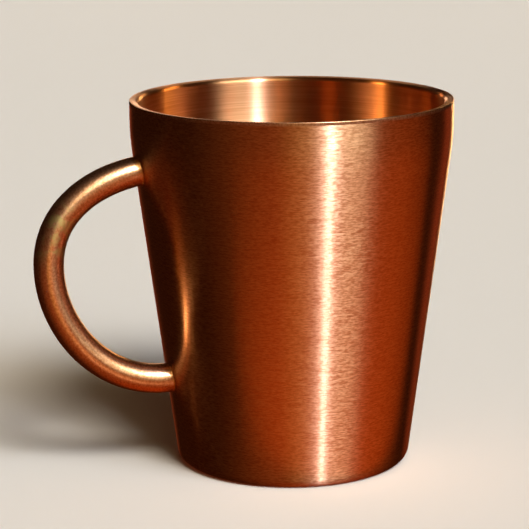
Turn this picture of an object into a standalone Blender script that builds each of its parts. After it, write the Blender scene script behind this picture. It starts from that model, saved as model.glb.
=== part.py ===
"""Double-walled metal mug with a round tube handle.

The mug stands on the XY plane, with its axis on Z and its handle along -X. It is four formed pieces of
sheet and tube (outer shell, inner cup, base plate, handle tube) joined by four welds (rim, base and the
handle's two ends). Neighbours keep a gap of 0.3 mm. Lengths are in millimetres up to the last step of each
function, which turns them into metres.
"""

import math

import bmesh
import bpy
from mathutils import Vector
from mathutils.geometry import interpolate_bezier

MM = 0.001
GAP = 0.3

# Mug body
RIM_RADIUS = 43.4
HEIGHT = 99.5
SHEET = 0.6
WALL_DEPTH = 2.5  # from the outer face of the rim to the face of the inner cup
TAPER = 0.131  # how much the radius shrinks per millimetre of height, below the straight band
BAND_DEPTH = 9.7  # height of the straight band under the rim
BAND_BEND_RADIUS = 70.0  # the soft bend between the band and the cone
FOOT_ROUND = 3.0  # round between the cone and the flat foot ring
FOOT_RING_INNER_RADIUS = 26.4

# Lip, formed from the inner cup's edge
LIP_FALL = 0.3  # the lip slopes down towards the inside by this much
LIP_ROUND = 1.2
RIM_WELD_WIDTH = 0.55
RIM_WELD_HEIGHT = 0.9
RIM_WELD_ROUND = 0.3

# Inner cup
FLOOR_HEIGHT = 7.0
FLOOR_ROUND = 6.0

# Base plate, a disc with a pressed centre
BASE_EDGE_HEIGHT = 0.15
BASE_CENTRE_HEIGHT = 0.6
BASE_PRESS_RADIUS = 21.0
BASE_PRESS_WIDTH = 1.2
BASE_PRESS_ROUND = 0.8
BASE_WELD_WIDTH = 0.6

# Handle: a Bezier centreline in the XZ plane, from the upper joint round to the lower one
TUBE_RADIUS = 4.0
TUBE_WALL = 0.8
HANDLE_TOP = (41.5, 82.35)  # distance from the axis and height, just inside the wall
HANDLE_TOP_ANGLE = -6.0  # degrees above the horizontal, leaving the wall
HANDLE_TOP_PULL = 10.3
HANDLE_OUTERMOST = (67.4, 58.0)
HANDLE_OUTERMOST_PULLS = (16.9, 16.4)  # above and below
HANDLE_LOW = (34.0, 25.15)
HANDLE_LOW_ANGLE = -4.0
HANDLE_LOW_PULL = 19.9
HANDLE_WELD_LENGTH = 2.6
HANDLE_WELD_SPREAD = 1.2  # how far the bead stands out from the tube at the wall
HANDLE_WELD_LEAST = 0.4  # and at its outer end

# Fineness of the solids
TURN_STEPS = 64
ARC_STEP_DEGREES = 24.0
HANDLE_STEPS = 14
TUBE_BEVEL = 5
BEAD_SIDES = 28


def clear_scene():
    for obj in list(bpy.data.objects):
        bpy.data.objects.remove(obj, do_unlink=True)


def metal(name, colour, roughness):
    """A Principled metal."""
    material = bpy.data.materials.new(name)
    material.use_nodes = True
    shader = material.node_tree.nodes["Principled BSDF"]
    shader.inputs["Base Color"].default_value = (*colour, 1.0)
    shader.inputs["Metallic"].default_value = 1.0
    shader.inputs["Roughness"].default_value = roughness
    return material


def add_object(name, mesh, material):
    obj = bpy.data.objects.new(name, mesh)
    bpy.context.scene.collection.objects.link(obj)
    if material:
        mesh.materials.clear()
        mesh.materials.append(material)
    return obj


def as_guide(obj):
    """Keeps a cutter or a guide out of the model."""
    obj.hide_render = True
    obj.display_type = "WIRE"
    return obj


def cone_radius(top_radius, height):
    """Radius of a wall's cone at a height, extended below the band of the given radius."""
    return top_radius - TAPER * (HEIGHT - BAND_DEPTH - height)


def rounded(corners):
    """The (radius, height) points of a path through corners given as (radius, height, round)."""
    points = []
    for index, (radius, height, bend) in enumerate(corners):
        corner = Vector((radius, height))
        if bend == 0:
            points.append(corner)
            continue
        before = (Vector(corners[index - 1][:2]) - corner).normalized()
        after = (Vector(corners[(index + 1) % len(corners)][:2]) - corner).normalized()
        opening = before.angle(after)
        start = corner + before * (bend / math.tan(opening / 2))
        centre = corner + (before + after).normalized() * (bend / math.sin(opening / 2))
        turn = (math.pi - opening) * (1 if before.cross(after) < 0 else -1)
        steps = max(2, math.ceil(math.degrees(abs(turn)) / ARC_STEP_DEGREES))
        spoke = start - centre
        for step in range(steps + 1):
            angle = turn * step / steps
            points.append(centre + Vector((
                spoke.x * math.cos(angle) - spoke.y * math.sin(angle),
                spoke.x * math.sin(angle) + spoke.y * math.cos(angle),
            )))
    return points


def turned(name, profile, material, closed=False, sheet=None):
    """Turns a profile about Z. A sheet's profile is its visible face, which gets its thickness behind it."""
    mesh = bpy.data.meshes.new(name)
    edges = [(i, i + 1) for i in range(len(profile) - 1)]
    if closed:
        edges.append((len(profile) - 1, 0))
    mesh.from_pydata([(p.x * MM, 0, p.y * MM) for p in profile], edges, [])
    obj = add_object(name, mesh, material)
    screw = obj.modifiers.new("Turn", "SCREW")
    screw.angle = 2 * math.pi
    screw.steps = TURN_STEPS
    screw.render_steps = TURN_STEPS
    screw.use_merge_vertices = True
    screw.merge_threshold = 0.00001
    screw.use_smooth_shade = True
    if sheet:
        add_sheet(obj, sheet)
    return obj


def add_sheet(obj, thickness):
    solidify = obj.modifiers.new("Sheet", "SOLIDIFY")
    solidify.thickness = thickness * MM
    solidify.offset = -1
    solidify.use_even_offset = True


def cut(obj, *cutters):
    for cutter in cutters:
        boolean = obj.modifiers.new("Cut", "BOOLEAN")
        boolean.operation = "DIFFERENCE"
        boolean.solver = "EXACT"
        boolean.object = cutter


def outer_shell(material):
    """The tapered outer wall, drawn in one with its foot ring."""
    top = HEIGHT - RIM_WELD_HEIGHT - GAP
    profile = rounded([
        (RIM_RADIUS, top, 0),
        (RIM_RADIUS, HEIGHT - BAND_DEPTH, BAND_BEND_RADIUS),
        (cone_radius(RIM_RADIUS, 0), 0, FOOT_ROUND),
        (FOOT_RING_INNER_RADIUS, 0, 0),
    ])
    return turned("outer_shell", profile, material, sheet=SHEET)


def inner_cup(material):
    """The liner, drawn in one with its floor and its lip."""
    inside = RIM_RADIUS - WALL_DEPTH
    profile = rounded([
        (0, FLOOR_HEIGHT, 0),
        (cone_radius(inside, FLOOR_HEIGHT), FLOOR_HEIGHT, FLOOR_ROUND),
        (inside, HEIGHT - BAND_DEPTH, BAND_BEND_RADIUS),
        (inside, HEIGHT - LIP_FALL, LIP_ROUND),
        (RIM_RADIUS - RIM_WELD_WIDTH - GAP, HEIGHT, 0),
    ])
    return turned("inner_cup", profile, material, sheet=SHEET)


def rim_weld(material):
    """The seam that closes the outer shell's edge and the lip's edge into one rounded rim."""
    inside = RIM_RADIUS - RIM_WELD_WIDTH
    low = HEIGHT - RIM_WELD_HEIGHT
    profile = rounded([
        (RIM_RADIUS, HEIGHT, RIM_WELD_ROUND),
        (RIM_RADIUS, low, 0),
        (inside, low, 0),
        (inside, HEIGHT, 0),
    ])
    return turned("rim_weld", profile, material, closed=True)


def base_plate(material):
    """The disc that closes the outer shell from below, with its centre pressed in."""
    edge = FOOT_RING_INNER_RADIUS - 2 * GAP - BASE_WELD_WIDTH
    profile = rounded([
        (edge, BASE_EDGE_HEIGHT, 0),
        (BASE_PRESS_RADIUS + BASE_PRESS_WIDTH, BASE_EDGE_HEIGHT, BASE_PRESS_ROUND),
        (BASE_PRESS_RADIUS, BASE_CENTRE_HEIGHT, BASE_PRESS_ROUND),
        (0, BASE_CENTRE_HEIGHT, 0),
    ])
    return turned("base_plate", profile, material, sheet=SHEET)


def base_weld(material):
    """The seam between the base plate's edge and the foot ring."""
    outside = FOOT_RING_INNER_RADIUS - GAP
    inside = outside - BASE_WELD_WIDTH
    top = BASE_EDGE_HEIGHT + SHEET
    profile = [Vector(p) for p in (
        (outside, top), (outside, BASE_EDGE_HEIGHT), (inside, BASE_EDGE_HEIGHT), (inside, top),
    )]
    return turned("base_weld", profile, material, closed=True)


def wall_clearance():
    """A solid that holds all that is inside the outer wall and within one gap of it."""
    radius = RIM_RADIUS + GAP
    profile = rounded([
        (0, HEIGHT, 0),
        (radius, HEIGHT, 0),
        (radius, HEIGHT - BAND_DEPTH, BAND_BEND_RADIUS),
        (cone_radius(radius, 0), 0, 0),
        (0, 0, 0),
    ])
    return as_guide(turned("wall_clearance", profile, None))


def handle_knots():
    """The centreline's three knots, each with the control points before and after it."""
    def at(point, angle=0.0, pull=0.0):
        turn = math.radians(angle)
        distance = point[0] + pull * math.cos(turn)
        height = point[1] + pull * math.sin(turn)
        return Vector((-distance, 0, height))

    above, below = HANDLE_OUTERMOST_PULLS
    top = at(HANDLE_TOP)
    low = at(HANDLE_LOW)
    return [
        (top, top, at(HANDLE_TOP, HANDLE_TOP_ANGLE, HANDLE_TOP_PULL)),
        (at(HANDLE_OUTERMOST), at(HANDLE_OUTERMOST, 90, above), at(HANDLE_OUTERMOST, -90, below)),
        (low, at(HANDLE_LOW, HANDLE_LOW_ANGLE, HANDLE_LOW_PULL), low),
    ]


def handle_sweep(name, radius, material, filled):
    """A round bar or an open skin along the handle's centreline."""
    curve = bpy.data.curves.new(name, "CURVE")
    curve.dimensions = "3D"
    curve.bevel_depth = radius * MM
    curve.bevel_resolution = TUBE_BEVEL
    curve.resolution_u = HANDLE_STEPS
    curve.use_fill_caps = filled
    spline = curve.splines.new("BEZIER")
    knots = handle_knots()
    spline.bezier_points.add(len(knots) - 1)
    for point, (knot, before, after) in zip(spline.bezier_points, knots):
        point.co = knot * MM
        point.handle_left = before * MM
        point.handle_right = after * MM
    guide = bpy.data.objects.new(name + "_centreline", curve)
    bpy.context.scene.collection.objects.link(guide)
    bpy.context.view_layer.update()
    graph = bpy.context.evaluated_depsgraph_get()
    mesh = bpy.data.meshes.new_from_object(guide.evaluated_get(graph))
    bpy.data.objects.remove(guide, do_unlink=True)
    mesh.name = name
    merge_points(mesh)
    mesh.shade_smooth()
    return add_object(name, mesh, material)


def merge_points(mesh):
    """Joins a filled curve's caps to its sides."""
    bm = bmesh.new()
    bm.from_mesh(mesh)
    bmesh.ops.remove_doubles(bm, verts=bm.verts, dist=0.000001)
    bmesh.ops.recalc_face_normals(bm, faces=bm.faces)
    bm.to_mesh(mesh)
    bm.free()


def handle_tube(material, wall):
    """The bent tube, its ends coped to the outer wall."""
    obj = handle_sweep("handle_tube", TUBE_RADIUS, material, filled=False)
    add_sheet(obj, TUBE_WALL)
    cut(obj, wall)
    return obj


def handle_weld(name, joint, material, wall, tube_room):
    """A tapered bead round one end of the tube, against the outer wall."""
    knots = handle_knots()
    points = []
    for (start, _, leaving), (end, arriving, _) in zip(knots, knots[1:]):
        points += interpolate_bezier(start, leaving, arriving, end, HANDLE_STEPS)
    if joint == "lower":
        points.reverse()
    reach = next(point for point in points if (point - points[0]).length > HANDLE_WELD_LENGTH)
    direction = (reach - points[0]).normalized()
    mesh = bpy.data.meshes.new(name)
    bm = bmesh.new()
    bmesh.ops.create_cone(
        bm,
        cap_ends=True,
        segments=BEAD_SIDES,
        radius1=(TUBE_RADIUS + HANDLE_WELD_SPREAD) * MM,
        radius2=(TUBE_RADIUS + GAP + HANDLE_WELD_LEAST) * MM,
        depth=HANDLE_WELD_LENGTH * MM,
    )
    bm.to_mesh(mesh)
    bm.free()
    mesh.shade_smooth()
    mesh.set_sharp_from_angle(angle=math.radians(40))
    obj = add_object(name, mesh, material)
    obj.rotation_euler = direction.to_track_quat("Z", "Y").to_euler()
    obj.location = (points[0] + direction * HANDLE_WELD_LENGTH / 2) * MM
    cut(obj, wall, tube_room)
    return obj


def main():
    clear_scene()
    brushed = metal("brushed_copper", (0.62, 0.30, 0.17), 0.28)
    liner = metal("satin_copper", (0.60, 0.29, 0.16), 0.22)
    polished = metal("polished_copper", (0.58, 0.27, 0.15), 0.18)
    underside = metal("plain_copper", (0.52, 0.27, 0.17), 0.38)
    seam = metal("weld_copper", (0.55, 0.26, 0.15), 0.30)

    outer_shell(brushed)
    inner_cup(liner)
    rim_weld(seam)
    base_plate(underside)
    base_weld(seam)

    wall = wall_clearance()
    tube_room = as_guide(handle_sweep("tube_clearance", TUBE_RADIUS + GAP, None, filled=True))
    handle_tube(polished, wall)
    handle_weld("handle_weld_upper", "upper", seam, wall, tube_room)
    handle_weld("handle_weld_lower", "lower", seam, wall, tube_room)


main()
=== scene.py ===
import math

import bpy
from mathutils import Matrix, Quaternion, Vector


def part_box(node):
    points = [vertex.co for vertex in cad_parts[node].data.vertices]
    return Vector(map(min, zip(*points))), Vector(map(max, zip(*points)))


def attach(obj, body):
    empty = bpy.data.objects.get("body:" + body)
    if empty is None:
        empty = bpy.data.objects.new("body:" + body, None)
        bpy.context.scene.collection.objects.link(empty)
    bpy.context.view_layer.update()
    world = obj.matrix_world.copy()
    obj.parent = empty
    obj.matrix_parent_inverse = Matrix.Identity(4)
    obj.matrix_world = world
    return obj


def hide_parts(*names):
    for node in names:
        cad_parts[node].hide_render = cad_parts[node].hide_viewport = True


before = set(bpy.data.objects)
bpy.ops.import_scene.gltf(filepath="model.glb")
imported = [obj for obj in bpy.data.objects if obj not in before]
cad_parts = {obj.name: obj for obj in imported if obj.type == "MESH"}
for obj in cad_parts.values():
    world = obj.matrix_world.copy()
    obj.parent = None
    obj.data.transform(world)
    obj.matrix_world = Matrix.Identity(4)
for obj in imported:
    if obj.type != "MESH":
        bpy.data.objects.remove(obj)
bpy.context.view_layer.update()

MM = 0.001

# The mug's main sizes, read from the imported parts.
RIM_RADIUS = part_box("rim_weld")[1].x
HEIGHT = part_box("rim_weld")[1].z
PLATE_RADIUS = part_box("base_plate")[1].x
PLATE_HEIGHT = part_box("base_plate")[0].z
BASE_SEAM_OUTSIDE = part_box("base_weld")[1].x
BASE_SEAM_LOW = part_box("base_weld")[0].z
BASE_SEAM_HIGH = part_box("base_weld")[1].z

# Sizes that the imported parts' boxes don't give.
SHEET = 0.6 * MM
WALL_DEPTH = 2.5 * MM
TAPER = 0.131
BAND_DEPTH = 9.7 * MM
BAND_BEND_RADIUS = 70 * MM
FOOT_ROUND = 3 * MM
LIP_FALL = 0.3 * MM
LIP_ROUND = 1.2 * MM
RIM_SEAM_INSIDE = RIM_RADIUS - 0.55 * MM
RIM_SEAM_LOW = HEIGHT - 0.9 * MM
RIM_EDGE_ROUND = 0.2 * MM
FLOOR_HEIGHT = 7 * MM
FLOOR_ROUND = 6 * MM
PLATE_PRESS_RADIUS = 21 * MM
PLATE_PRESS_WIDTH = 1.2 * MM
PLATE_PRESS_HEIGHT = 0.45 * MM
PLATE_PRESS_ROUND = 0.8 * MM
BASE_SEAM_ROUND = 0.25 * MM

TUBE_RADIUS = 4 * MM
TUBE_WALL = 0.8 * MM
FILLET = 0.45 * MM
FILLET_ROOT = 0.3 * MM  # how deep a fillet's hidden root lies in the tube and the wall

# The handle's centreline: knots with the control points before and after them,
# as (distance from the axis, height) in millimetres.
HANDLE_KNOTS = (
    (None, (41.5, 82.35), (51.74, 81.27)),
    ((67.4, 74.9), (67.4, 58.0), (67.4, 41.6)),
    ((53.85, 23.76), (34.0, 25.15), None),
)

TURN_STEPS = 256
ARC_STEP = math.radians(3)
TUBE_STEPS = 160
TUBE_SIDES = 72
FILLET_STEPS = 6
FILLET_SIDES = 96
ON_AXIS = 0.001 * MM  # a profile point this near the axis becomes one vertex
HALVINGS = 30  # of the search for the place where a line along the tube meets the wall


# ---------------------------------------------------------------- shapes


def cone_radius(top_radius, height):
    """Radius of a wall's cone at a height, extended below the band of the given radius."""
    return top_radius - TAPER * (HEIGHT - BAND_DEPTH - height)


def rounded(corners):
    """The (radius, height) points of a path through corners given as (radius, height, round)."""
    points = []
    for index, (radius, height, bend) in enumerate(corners):
        corner = Vector((radius, height))
        if bend == 0:
            points.append(corner)
            continue
        before = (Vector(corners[index - 1][:2]) - corner).normalized()
        after = (Vector(corners[(index + 1) % len(corners)][:2]) - corner).normalized()
        opening = before.angle(after)
        start = corner + before * (bend / math.tan(opening / 2))
        centre = corner + (before + after).normalized() * (bend / math.sin(opening / 2))
        turn = (math.pi - opening) * (1 if before.cross(after) < 0 else -1)
        steps = max(4, math.ceil(abs(turn) / ARC_STEP))
        spoke = start - centre
        for step in range(steps + 1):
            angle = turn * step / steps
            points.append(centre + Vector((
                spoke.x * math.cos(angle) - spoke.y * math.sin(angle),
                spoke.x * math.sin(angle) + spoke.y * math.cos(angle),
            )))
    return points


def new_mesh_object(name, verts, faces, sharp=35):
    """A smooth object, with a hard edge wherever its faces meet at more than sharp degrees."""
    mesh = bpy.data.meshes.new(name)
    mesh.from_pydata(verts, [], faces)
    mesh.shade_smooth()
    mesh.set_sharp_from_angle(angle=math.radians(sharp))
    obj = bpy.data.objects.new(name, mesh)
    bpy.context.scene.collection.objects.link(obj)
    return obj


def skin(rings):
    """Faces between rings of vertex numbers, from each ring to the next and from the last to the first."""
    faces = []
    for first, second in zip(rings, rings[1:] + rings[:1]):
        for side in range(len(first)):
            after = (side + 1) % len(first)
            corners = [first[side], second[side], second[after], first[after]]
            unique = list(dict.fromkeys(corners))
            if len(unique) > 2:
                faces.append(unique)
    return faces


def lathe(name, profile):
    """A closed profile turned about Z. It runs down the outer side of the shape, then in and back up."""
    verts = []
    rings = []
    for point in profile:
        if point.x < ON_AXIS:
            rings.append([len(verts)] * TURN_STEPS)
            verts.append((0, 0, point.y))
            continue
        rings.append(range(len(verts), len(verts) + TURN_STEPS))
        for step in range(TURN_STEPS):
            angle = math.tau * step / TURN_STEPS
            verts.append((point.x * math.cos(angle), point.x * math.sin(angle), point.y))
    return new_mesh_object(name, verts, skin(rings))


def behind(path, thickness):
    """A sheet's hidden face: the path moved by the thickness, away from the side it shows."""
    moved = []
    for index, point in enumerate(path):
        before = path[max(index - 1, 0)]
        after = path[min(index + 1, len(path) - 1)]
        along = (after - before).normalized()
        shifted = point - Vector((-along.y, along.x)) * thickness
        moved.append(Vector((max(shifted.x, 0), shifted.y)))
    return moved


def sheet(name, path):
    """A turned sheet of even thickness, whose visible side follows the path."""
    return lathe(name, path + behind(path, SHEET)[::-1])


def handle_frame(share):
    """The centreline's point and direction at a share, 0 to 1, of its way round."""
    half = 0 if share < 0.5 else 1
    t = 2 * share - half
    (_, start, leaving), (arriving, end, _) = HANDLE_KNOTS[half:half + 2]
    a, b, c, d = (Vector((-x, 0, z)) * MM for x, z in (start, leaving, arriving, end))
    point = a * (1 - t) ** 3 + b * 3 * t * (1 - t) ** 2 + c * 3 * t * t * (1 - t) + d * t ** 3
    along = (b - a) * (1 - t) ** 2 + (c - b) * 2 * t * (1 - t) + (d - c) * t * t
    return point, along.normalized()


def on_tube(share, angle, radius):
    """A point at a distance from the centreline, at an angle round it."""
    point, along = handle_frame(share)
    across = Vector((0, 1, 0))
    return point + (along.cross(across) * math.cos(angle) + across * math.sin(angle)) * radius


def wall_gap(point):
    """How far a point stands out from the outer wall's cone, sideways."""
    return math.hypot(point.x, point.y) - cone_radius(RIM_RADIUS, point.z)


def share_at_gap(angle, radius, gap, lower):
    """The share of the way round the handle where a line along the tube stands that far from the wall."""
    near, far = (1.0, 0.75) if lower else (0.0, 0.25)
    for _ in range(HALVINGS):
        middle = (near + far) / 2
        if wall_gap(on_tube(middle, angle, radius)) < gap:
            near = middle
        else:
            far = middle
    return (near + far) / 2


def handle_tube():
    """The bent tube, each of its lines running from wall to wall, with an open bore."""
    angles = [math.tau * side / TUBE_SIDES for side in range(TUBE_SIDES)]
    verts = []
    rings = []
    sunk = -FILLET_ROOT
    spans = [
        (share_at_gap(a, TUBE_RADIUS, sunk, False), share_at_gap(a, TUBE_RADIUS, sunk, True))
        for a in angles
    ]
    for radius in (TUBE_RADIUS, TUBE_RADIUS - TUBE_WALL):
        rows = []
        for step in range(TUBE_STEPS + 1):
            rows.append(range(len(verts), len(verts) + TUBE_SIDES))
            for angle, (start, end) in zip(angles, spans):
                verts.append(on_tube(start + (end - start) * step / TUBE_STEPS, angle, radius))
        rings += rows if radius == TUBE_RADIUS else rows[::-1]
    obj = new_mesh_object("handle", verts, skin(rings), sharp=50)
    add_tube_uv(obj)
    return obj


def add_tube_uv(obj):
    """U runs along the tube and V round it, so that the polishing marks can follow its bend."""
    layer = obj.data.uv_layers.new(name="along")
    per_wall = (TUBE_STEPS + 1) * TUBE_SIDES
    for polygon in obj.data.polygons:
        places = [index % per_wall for index in polygon.vertices]
        closes = any(place % TUBE_SIDES == TUBE_SIDES - 1 for place in places)
        for loop, place in zip(polygon.loop_indices, places):
            step, side = divmod(place, TUBE_SIDES)
            if closes and side == 0:
                side = TUBE_SIDES
            layer.data[loop].uv = (step / TUBE_STEPS, side / TUBE_SIDES)


def fillet(name, lower):
    """The small ring of weld metal in the corner between the tube and the wall."""
    verts = []
    for side in range(FILLET_SIDES):
        angle = math.tau * side / FILLET_SIDES

        def corner_point(radius, gap):
            return on_tube(share_at_gap(angle, radius, gap, lower), angle, radius)

        on_bar = corner_point(TUBE_RADIUS, FILLET)
        corner = corner_point(TUBE_RADIUS, 0)
        on_wall = corner_point(TUBE_RADIUS + FILLET, 0)
        for step in range(FILLET_STEPS + 1):
            t = step / FILLET_STEPS
            verts.append(on_bar * (1 - t) ** 2 + corner * 2 * t * (1 - t) + on_wall * t * t)
        verts.append(corner_point(TUBE_RADIUS + FILLET, -FILLET_ROOT))
        verts.append(corner_point(TUBE_RADIUS - FILLET_ROOT, -FILLET_ROOT))
        verts.append(corner_point(TUBE_RADIUS - FILLET_ROOT, FILLET))
    count = FILLET_STEPS + 4
    rings = [range(first, FILLET_SIDES * count, count) for first in range(count)]
    faces = skin(rings)
    if not lower:
        faces = [face[::-1] for face in faces]
    return new_mesh_object(name, verts, faces)


# ---------------------------------------------------------------- materials


def add(tree, kind, inputs=None, **settings):
    """A node with its settings, and its inputs given as values or as other nodes' outputs."""
    made = tree.nodes.new(kind)
    for name, value in settings.items():
        setattr(made, name, value)
    for key, value in (inputs or {}).items():
        if isinstance(value, bpy.types.NodeSocket):
            tree.links.new(value, made.inputs[key])
        else:
            made.inputs[key].default_value = value
    return made


def maths(tree, operation, a, b=0.0, c=0.0):
    """The operation on a and b, and on c where it takes three, as a * b + c does."""
    return add(tree, "ShaderNodeMath", {0: a, 1: b, 2: c}, operation=operation).outputs[0]


def blend(tree, first, second, share):
    """A mixture of two values that holds that share of the first."""
    return maths(tree, "MULTIPLY_ADD", first, share, maths(tree, "MULTIPLY", second, 1 - share))


def noise(tree, place, scale, detail, roughness):
    """Noise from 0 to 1, with its own scale along each axis, in cells per metre."""
    stretched = add(tree, "ShaderNodeMapping", {"Vector": place, "Scale": scale}).outputs[0]
    return add(tree, "ShaderNodeTexNoise", {
        "Vector": stretched, "Scale": 1.0, "Detail": detail, "Roughness": roughness,
    }).outputs["Fac"]


def ramp(tree, value, low, high):
    """0 below low, 1 above high, and smooth between."""
    return add(tree, "ShaderNodeMapRange", {
        "Value": value, "From Min": low, "From Max": high,
    }, interpolation_type="SMOOTHSTEP").outputs[0]


def mixed(tree, share, first, second):
    """A colour that goes from the first to the second as the share goes from 0 to 1."""
    made = add(tree, "ShaderNodeMix", {"Factor": share}, data_type="RGBA")
    for key, value in ((6, first), (7, second)):
        if isinstance(value, bpy.types.NodeSocket):
            tree.links.new(value, made.inputs[key])
        else:
            made.inputs[key].default_value = (*value, 1)
    return made.outputs[2]


def specks(tree, place, cells, size, share):
    """1 in small round specks, scattered over a share of the cells."""
    cell = add(tree, "ShaderNodeTexVoronoi", {"Vector": place, "Scale": cells, "Randomness": 1.0})
    dot = ramp(tree, cell.outputs["Distance"], size, size * 0.5)
    chosen = add(tree, "ShaderNodeSeparateColor", {"Color": cell.outputs["Color"]}).outputs[0]
    return maths(tree, "MULTIPLY", dot, maths(tree, "LESS_THAN", chosen, share))


def metal(name, anisotropy, tangent_map=None):
    """A metal whose brush lines run round Z, or across the U of a UV map, before its colour and relief."""
    material = bpy.data.materials.new(name)
    material.use_nodes = True
    tree = material.node_tree
    shader = tree.nodes["Principled BSDF"]
    shader.inputs["Metallic"].default_value = 1.0
    shader.inputs["Anisotropic"].default_value = anisotropy
    shader.inputs["Anisotropic Rotation"].default_value = 0.0 if tangent_map else 0.25
    if tangent_map:
        tangent = add(tree, "ShaderNodeTangent", direction_type="UV_MAP", uv_map=tangent_map)
    else:
        tangent = add(tree, "ShaderNodeTangent", direction_type="RADIAL", axis="Z")
    tree.links.new(tangent.outputs[0], shader.inputs["Tangent"])
    place = add(tree, "ShaderNodeTexCoord").outputs["Object"]
    return material, tree, shader, place


def finish_metal(tree, shader, colour, roughness, height, depth, strength):
    """Joins the shader's colour, roughness and relief, whose full depth is in metres."""
    bump = add(tree, "ShaderNodeBump", {"Height": height, "Distance": depth, "Strength": strength})
    tree.links.new(colour, shader.inputs["Base Color"])
    tree.links.new(roughness, shader.inputs["Roughness"])
    tree.links.new(bump.outputs[0], shader.inputs["Normal"])


# Colours of the plating: plain, in the brush lines' shade, dark and pale, then worn, and dull.
COPPER = (0.80, 0.42, 0.20)
COPPER_SHADE = (0.58, 0.26, 0.10)
COPPER_DARK = (0.60, 0.26, 0.09)
COPPER_PALE = (0.90, 0.53, 0.25)
BRASSY = (0.62, 0.47, 0.15)
DULL = (0.34, 0.20, 0.15)
WORN_SPOT = (-66.5 * MM, -3.7 * MM, 68 * MM)  # on the outer front of the handle's bend


def brushed_copper():
    """Short brush dashes round the body, some glossier or a little turned, with smudges and small pits
    whose pale specks are painted glints.
    """
    material, tree, shader, place = metal("brushed_copper", 1.0)
    dashes = noise(tree, place, (260, 260, 3000), 2.0, 0.6)
    lines = noise(tree, place, (60, 60, 2300), 2.0, 0.5)
    grain = noise(tree, place, (800, 800, 3200), 2.0, 0.6)
    smudge = noise(tree, place, (32, 32, 24), 3.0, 0.5)
    pits = specks(tree, place, 420, 0.055, 0.22)
    brushed = blend(tree, dashes, lines, 0.75)
    specked = blend(tree, grain, brushed, 0.6)
    colour = mixed(tree, ramp(tree, specked, 0.34, 0.66), COPPER_SHADE, COPPER_PALE)
    # Painted glints: the pits' specks are coloured pale copper to look like sparkles, over the real dents
    # that the pits make in the relief.
    colour = mixed(tree, pits, colour, COPPER_PALE)
    uneven = ramp(tree, blend(tree, grain, dashes, 0.5), 0.35, 0.65)
    wear = maths(tree, "MULTIPLY_ADD", smudge, 0.04, 0.27)
    roughness = maths(tree, "MULTIPLY_ADD", uneven, 0.06, wear)
    height = maths(tree, "MULTIPLY_ADD", pits, -0.6, maths(tree, "MULTIPLY_ADD", grain, 0.6, brushed))
    turned = maths(tree, "MULTIPLY_ADD", blend(tree, grain, dashes, 0.6), 0.009, 0.2455)
    tree.links.new(turned, shader.inputs["Anisotropic Rotation"])
    finish_metal(tree, shader, colour, roughness, height, 0.02 * MM, 0.32)
    return material


def satin_copper():
    """The liner's satin face: fine lines round the cup, and a slightly glossier lip."""
    material, tree, shader, place = metal("satin_copper", 1.0)
    fine = noise(tree, place, (60, 60, 2600), 2.0, 0.5)
    smudge = noise(tree, place, (40, 40, 30), 3.0, 0.5)
    colour = mixed(tree, ramp(tree, fine, 0.1, 0.9), COPPER_DARK, COPPER)
    height = add(tree, "ShaderNodeSeparateXYZ", {0: place}).outputs["Z"]
    on_lip = ramp(tree, height, HEIGHT - 1.2 * MM, HEIGHT - 0.6 * MM)
    roughness = maths(tree, "MULTIPLY_ADD", smudge, 0.02, 0.31)
    roughness = maths(tree, "MULTIPLY_ADD", on_lip, -0.03, roughness)
    finish_metal(tree, shader, colour, roughness, fine, 0.01 * MM, 0.12)
    return material


def polished_copper(name, depth, tangent_map=None):
    """Half-polished bar: grainy, pitted and scratched, with a worn brassy patch where fingers rest."""
    material, tree, shader, place = metal(name, 0.3, tangent_map)
    grain = noise(tree, place, (1700, 1700, 1700), 3.0, 0.7)
    cloud = noise(tree, place, (260, 260, 260), 4.0, 0.6)
    pits = specks(tree, place, 900, 0.16, 0.35)
    scratches = ramp(tree, noise(tree, place, (1900, 1900, 160), 1.0, 0.5), 0.62, 0.72)
    near = add(tree, "ShaderNodeVectorMath", {0: place, 1: WORN_SPOT}, operation="DISTANCE")
    worn_zone = ramp(tree, near.outputs["Value"], 11 * MM, 4 * MM)
    worn = maths(tree, "MULTIPLY", worn_zone, ramp(tree, cloud, 0.44, 0.58))
    colour = mixed(tree, ramp(tree, grain, 0.3, 0.7), COPPER_DARK, COPPER_PALE)
    colour = mixed(tree, worn, colour, BRASSY)
    colour = mixed(tree, maths(tree, "MULTIPLY", pits, 0.7), colour, DULL)
    colour = mixed(tree, maths(tree, "MULTIPLY", scratches, 0.5), colour, COPPER_PALE)
    roughness = maths(tree, "MULTIPLY_ADD", cloud, 0.10, maths(tree, "MULTIPLY", worn, 0.08))
    roughness = maths(tree, "MULTIPLY_ADD", pits, 0.2, maths(tree, "ADD", roughness, 0.26))
    height = maths(tree, "MULTIPLY_ADD", scratches, 0.4, grain)
    height = maths(tree, "MULTIPLY_ADD", pits, -0.8, height)
    finish_metal(tree, shader, colour, roughness, height, depth, 0.5)
    return material


def plain_copper():
    """The underside: spun rings under a duller plating."""
    material, tree, shader, place = metal("plain_copper", 0.7)
    cloud = noise(tree, place, (60, 60, 60), 3.0, 0.55)
    away = add(tree, "ShaderNodeVectorMath", {0: place}, operation="LENGTH").outputs["Value"]
    rings = add(tree, "ShaderNodeTexNoise", {"W": away, "Scale": 2600.0, "Detail": 2.0},
                noise_dimensions="1D").outputs["Fac"]
    colour = mixed(tree, ramp(tree, rings, 0.3, 0.7), COPPER_DARK, COPPER)
    colour = mixed(tree, maths(tree, "MULTIPLY", cloud, 0.3), colour, DULL)
    roughness = maths(tree, "MULTIPLY_ADD", cloud, 0.15, 0.32)
    finish_metal(tree, shader, colour, roughness, rings, 0.02 * MM, 0.3)
    return material


# ---------------------------------------------------------------- pieces


def settle(obj, material, node):
    """Gives a piece its material, and puts it in the place of its node on the mug's one body."""
    obj.data.materials.append(material)
    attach(obj, "root")
    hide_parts(node)


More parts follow.
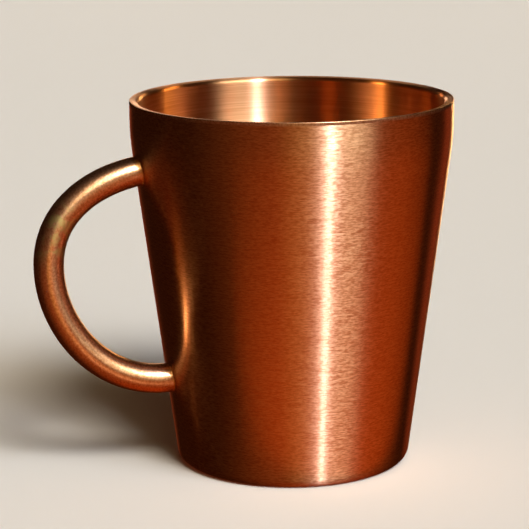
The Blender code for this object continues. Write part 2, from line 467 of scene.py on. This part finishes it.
def outer_wall():
    return sheet("outer_wall", rounded([
        (RIM_RADIUS, RIM_SEAM_LOW, 0),
        (RIM_RADIUS, HEIGHT - BAND_DEPTH, BAND_BEND_RADIUS),
        (cone_radius(RIM_RADIUS, 0), 0, FOOT_ROUND),
        (BASE_SEAM_OUTSIDE, 0, 0),
    ]))


def liner():
    inside = RIM_RADIUS - WALL_DEPTH
    return sheet("liner", rounded([
        (0, FLOOR_HEIGHT, 0),
        (cone_radius(inside, FLOOR_HEIGHT), FLOOR_HEIGHT, FLOOR_ROUND),
        (inside, HEIGHT - BAND_DEPTH, BAND_BEND_RADIUS),
        (inside, HEIGHT - LIP_FALL, LIP_ROUND),
        (RIM_SEAM_INSIDE, HEIGHT, 0),
    ]))


def rim_seam():
    return lathe("rim_seam", rounded([
        (RIM_RADIUS, HEIGHT, RIM_EDGE_ROUND),
        (RIM_RADIUS, RIM_SEAM_LOW, 0),
        (RIM_SEAM_INSIDE, RIM_SEAM_LOW, 0),
        (RIM_SEAM_INSIDE, HEIGHT, 0),
    ]))


def base_disc():
    pressed = PLATE_HEIGHT + PLATE_PRESS_HEIGHT
    return sheet("base_disc", rounded([
        (PLATE_RADIUS, PLATE_HEIGHT, 0),
        (PLATE_PRESS_RADIUS + PLATE_PRESS_WIDTH, PLATE_HEIGHT, PLATE_PRESS_ROUND),
        (PLATE_PRESS_RADIUS, pressed, PLATE_PRESS_ROUND),
        (0, pressed, 0),
    ]))


def base_seam():
    """A low bead round the base, which stays clear of the plane that the mug stands on."""
    return lathe("base_seam", rounded([
        (BASE_SEAM_OUTSIDE, BASE_SEAM_HIGH, 0),
        (BASE_SEAM_OUTSIDE, BASE_SEAM_LOW, BASE_SEAM_ROUND),
        (PLATE_RADIUS, BASE_SEAM_LOW, BASE_SEAM_ROUND),
        (PLATE_RADIUS, BASE_SEAM_HIGH, 0),
    ]))


def make_body():
    brushed = brushed_copper()
    satin = satin_copper()
    edge = polished_copper("edge_copper", 0.01 * MM)
    plain = plain_copper()
    settle(outer_wall(), brushed, "outer_shell")
    settle(liner(), satin, "inner_cup")
    settle(rim_seam(), edge, "rim_weld")
    settle(base_disc(), plain, "base_plate")
    settle(base_seam(), edge, "base_weld")


def make_handle():
    bar = polished_copper("handle_copper", 0.03 * MM, "along")
    joint = polished_copper("joint_copper", 0.02 * MM)
    settle(handle_tube(), bar, "handle_tube")
    settle(fillet("handle_seam_upper", lower=False), joint, "handle_weld_upper")
    settle(fillet("handle_seam_lower", lower=True), joint, "handle_weld_lower")


# ---------------------------------------------------------------- camera and floor

VIEW_TURN = math.radians(18.5)  # how far round the mug the camera stands, from -Y towards the handle
CAMERA_DISTANCE = 558.5 * MM
CAMERA_HEIGHT = 180.7 * MM
CAMERA_PITCH = 0.2236  # radians, as are the next two
CAMERA_PAN = -0.0135
CAMERA_ROLL = -0.0078
CAMERA_LENS = 143.0

FLOOR_RADIUS = 60.0
FLOOR_COLOUR = (0.78, 0.74, 0.69, 1)
FLOOR_ROUGHNESS = 0.9


def place_camera():
    data = bpy.data.cameras.new("camera")
    data.lens = CAMERA_LENS
    camera = bpy.data.objects.new("camera", data)
    bpy.context.scene.collection.objects.link(camera)
    camera.matrix_world = (
        Matrix.Rotation(-VIEW_TURN, 4, "Z")
        @ Matrix.Translation((0, -CAMERA_DISTANCE, CAMERA_HEIGHT))
        @ Matrix.Rotation(-CAMERA_PAN, 4, "Z")
        @ Matrix.Rotation(math.pi / 2 - CAMERA_PITCH, 4, "X")
        @ Matrix.Rotation(CAMERA_ROLL, 4, "Z")
    )
    bpy.context.scene.camera = camera


def place_floor():
    """A pale floor, wide enough to reach the horizon, that the metal doesn't reflect."""
    bpy.ops.mesh.primitive_circle_add(vertices=96, radius=FLOOR_RADIUS, fill_type="NGON")
    floor = bpy.context.object
    floor.name = "floor"
    material = bpy.data.materials.new("floor")
    material.use_nodes = True
    shader = material.node_tree.nodes["Principled BSDF"]
    shader.inputs["Base Color"].default_value = FLOOR_COLOUR
    shader.inputs["Roughness"].default_value = FLOOR_ROUGHNESS
    floor.data.materials.append(material)
    floor.visible_glossy = False
    floor.visible_shadow = False


# ---------------------------------------------------------------- light

MIDDLE = Vector((0, 0, HEIGHT / 2))

# How far from the mug's middle the lights stand, in metres.
FRONT = 1.2
SIDE = 1.5
BACK = 2.0

# The narrow beam that makes the glint on the wall beside the handle, and the low light in front.
GLINT_DISTANCE = 245 * MM
GLINT_HEIGHT = 20 * MM
GLINT_SPREAD = 18  # degrees
BOUNCE_DISTANCE = 150 * MM
BOUNCE_HEIGHT = 2 * MM

COOL = (0.90, 1.00, 1.60)
IVORY = (1.0, 0.95, 0.85)
CREAM = (1.0, 0.93, 0.80)
PEACH = (1.0, 0.72, 0.48)
SALMON = (1.0, 0.66, 0.42)
ROSE = (1.0, 0.65, 0.50)
GOLD = (1.0, 0.60, 0.26)
ORANGE = (1.0, 0.50, 0.15)
TANGERINE = (1.0, 0.44, 0.12)
AMBER = (1.0, 0.42, 0.16)
RUST = (1.0, 0.36, 0.12)
EMBER = (1.0, 0.17, 0.06)
RED = (1.0, 0.15, 0.012)


def direction(azimuth, elevation):
    """Unit vector towards an azimuth, counted rightwards from the camera, and an elevation, in degrees."""
    a, e = math.radians(azimuth) - VIEW_TURN, math.radians(elevation)
    return Vector((math.sin(a) * math.cos(e), -math.cos(a) * math.cos(e), math.sin(e)))


def around(azimuth, elevation, distance):
    """The point at that distance from the mug's middle, in that direction."""
    return MIDDLE + direction(azimuth, elevation) * distance


def place_light(name, where, target, size, power, colour, roll=0, only=None, spread=180):
    """A flat light aimed at a point, which only metal shows: all of it, or only the object named.

    The size is in metres and the power in watts. A spread below 180 degrees gathers the same power into a
    beam of that width.
    """
    data = bpy.data.lights.new(name, "AREA")
    data.shape = "RECTANGLE"
    data.size, data.size_y = size
    data.energy = power
    data.color = colour
    data.spread = math.radians(spread)
    light = bpy.data.objects.new(name, data)
    light.location = where
    backwards = (where - target).normalized()
    turn = backwards.to_track_quat("Z", "Y")
    light.rotation_mode = "QUATERNION"
    light.rotation_quaternion = Quaternion(backwards, math.radians(roll)) @ turn
    light.visible_camera = False
    light.visible_diffuse = False
    if only:
        lit = bpy.data.collections.new(name + "_lit")
        lit.objects.link(bpy.data.objects[only])
        light.light_linking.receiver_collection = lit
    bpy.context.scene.collection.objects.link(light)


def place_world():
    """A dim, warm room: bright behind the key light, fading round to nearly dark on the far side."""
    world = bpy.data.worlds.new("studio")
    world.use_nodes = True
    bpy.context.scene.world = world
    tree = world.node_tree
    towards = add(tree, "ShaderNodeTexCoord").outputs["Generated"]
    height = add(tree, "ShaderNodeSeparateXYZ", {0: towards}).outputs["Z"]

    def nearness(azimuth, elevation, least):
        """0 where a direction is far from this one, rising to 1 at it."""
        facing = add(tree, "ShaderNodeVectorMath", {0: towards, 1: direction(azimuth, elevation)},
                     operation="DOT_PRODUCT")
        return ramp(tree, facing.outputs["Value"], least, 1.0)

    # The room's lower half, with the table's red glow, and its darker upper half.
    low = mixed(tree, nearness(30, 0, -0.4), (0.035, 0.008, 0.002), (0.34, 0.075, 0.015))
    low = mixed(tree, nearness(100, -70, 0.78), low, (0.42, 0.055, 0.006))
    high = mixed(tree, nearness(15, 0, -0.4), (0.016, 0.007, 0.004), (0.10, 0.045, 0.022))
    colour = mixed(tree, ramp(tree, height, -0.5, 0.1), low, high)
    # A faint glow straight ahead of the handle, then the broad soft light beside the key light.
    colour = mixed(tree, nearness(5, -13, 0.95), colour, (0.32, 0.17, 0.04))
    colour = mixed(tree, nearness(36, 42, 0.85), colour, (2.8, 2.3, 1.3))
    colour = mixed(tree, nearness(47, 38, 0.94), colour, (7.4, 8.6, 10.0))
    tree.links.new(colour, tree.nodes["Background"].inputs["Color"])


def place_body_lights():
    """The lights of the mug's streaks. A light's width sets how wide its streak is on the brushed wall."""
    place_light("key_low", around(28.5, -30, FRONT), MIDDLE, (0.035, 0.6), 0.9, COOL, only="outer_wall")
    place_light("key_high", around(31, 43, FRONT), MIDDLE, (0.03, 0.6), 10, COOL, roll=-3)
    place_light("back", around(179, 30, BACK), MIDDLE, (0.4, 0.35), 0.8, PEACH)
    place_light("back_right", around(163, 5, BACK), MIDDLE, (0.09, 1.2), 4, GOLD)
    place_light("lip_left", around(-174, 5, BACK), MIDDLE, (0.3, 0.25), 0.9, SALMON)
    place_light("lip_right", around(-160, 12, BACK), MIDDLE, (0.2, 0.35), 0.7, AMBER, only="liner")
    place_light("edge_right", around(146, -8, SIDE), MIDDLE, (0.5, 0.8), 0.26, EMBER, only="outer_wall")
    place_light("edge_left", around(-163, -8, SIDE), MIDDLE, (0.3, 0.8), 0.2, EMBER, only="outer_wall")
    beside = direction(-95, 0) * GLINT_DISTANCE + Vector((0, 0, GLINT_HEIGHT))
    place_light("beside", beside, MIDDLE, (0.03, 0.04), 0.00012, RUST, only="outer_wall",
                spread=GLINT_SPREAD)
    place_light("inner_right", around(-78, 28, FRONT), MIDDLE, (0.03, 0.5), 2.6, ORANGE, only="liner")
    place_light("inner_left", around(118, 28, FRONT), MIDDLE, (0.03, 0.5), 2.2, ORANGE, only="liner")


def place_handle_lights():
    """Lights for the handle alone: high, low and straight ahead of it, and one to the right."""
    for name, azimuth, elevation, size, power, colour in (
        ("handle_high", 9, 25, (0.30, 0.5), 1.0, IVORY),
        ("handle_right", 41, 7, (0.25, 0.35), 0.55, CREAM),
        ("handle_front", 9, -12, (0.7, 0.35), 0.4, TANGERINE),
        ("handle_low", 21, -32, (0.3, 0.35), 0.35, ROSE),
    ):
        place_light(name, around(azimuth, elevation, FRONT), MIDDLE, size, power, colour, only="handle")


def place_bounce():
    """The warm light that comes back up off the table in front of the mug, to its right."""
    low = direction(65, 0) * BOUNCE_DISTANCE + Vector((0, 0, BOUNCE_HEIGHT))
    above = low + Vector((0, 0, 1))
    place_light("bounce", low, above, (0.40, 0.18), 0.07, RED, roll=-11.5, only="outer_wall")


def place_sun():
    """The floor's light, soft enough to give the mug's shadow a wide edge. The metal doesn't reflect it."""
    sun = bpy.data.lights.new("floor_sun", "SUN")
    sun.energy = 1.9
    sun.angle = math.radians(20)
    sun.color = (1.0, 0.95, 0.87)
    lamp = bpy.data.objects.new("floor_sun", sun)
    lamp.rotation_mode = "QUATERNION"
    lamp.rotation_quaternion = direction(28, 48).to_track_quat("Z", "Y")
    lamp.visible_glossy = False
    bpy.context.scene.collection.objects.link(lamp)


bpy.context.scene.view_settings.view_transform = "Standard"
place_camera()
make_body()
make_handle()
place_floor()
place_world()
place_body_lights()
place_handle_lights()
place_bounce()
place_sun()
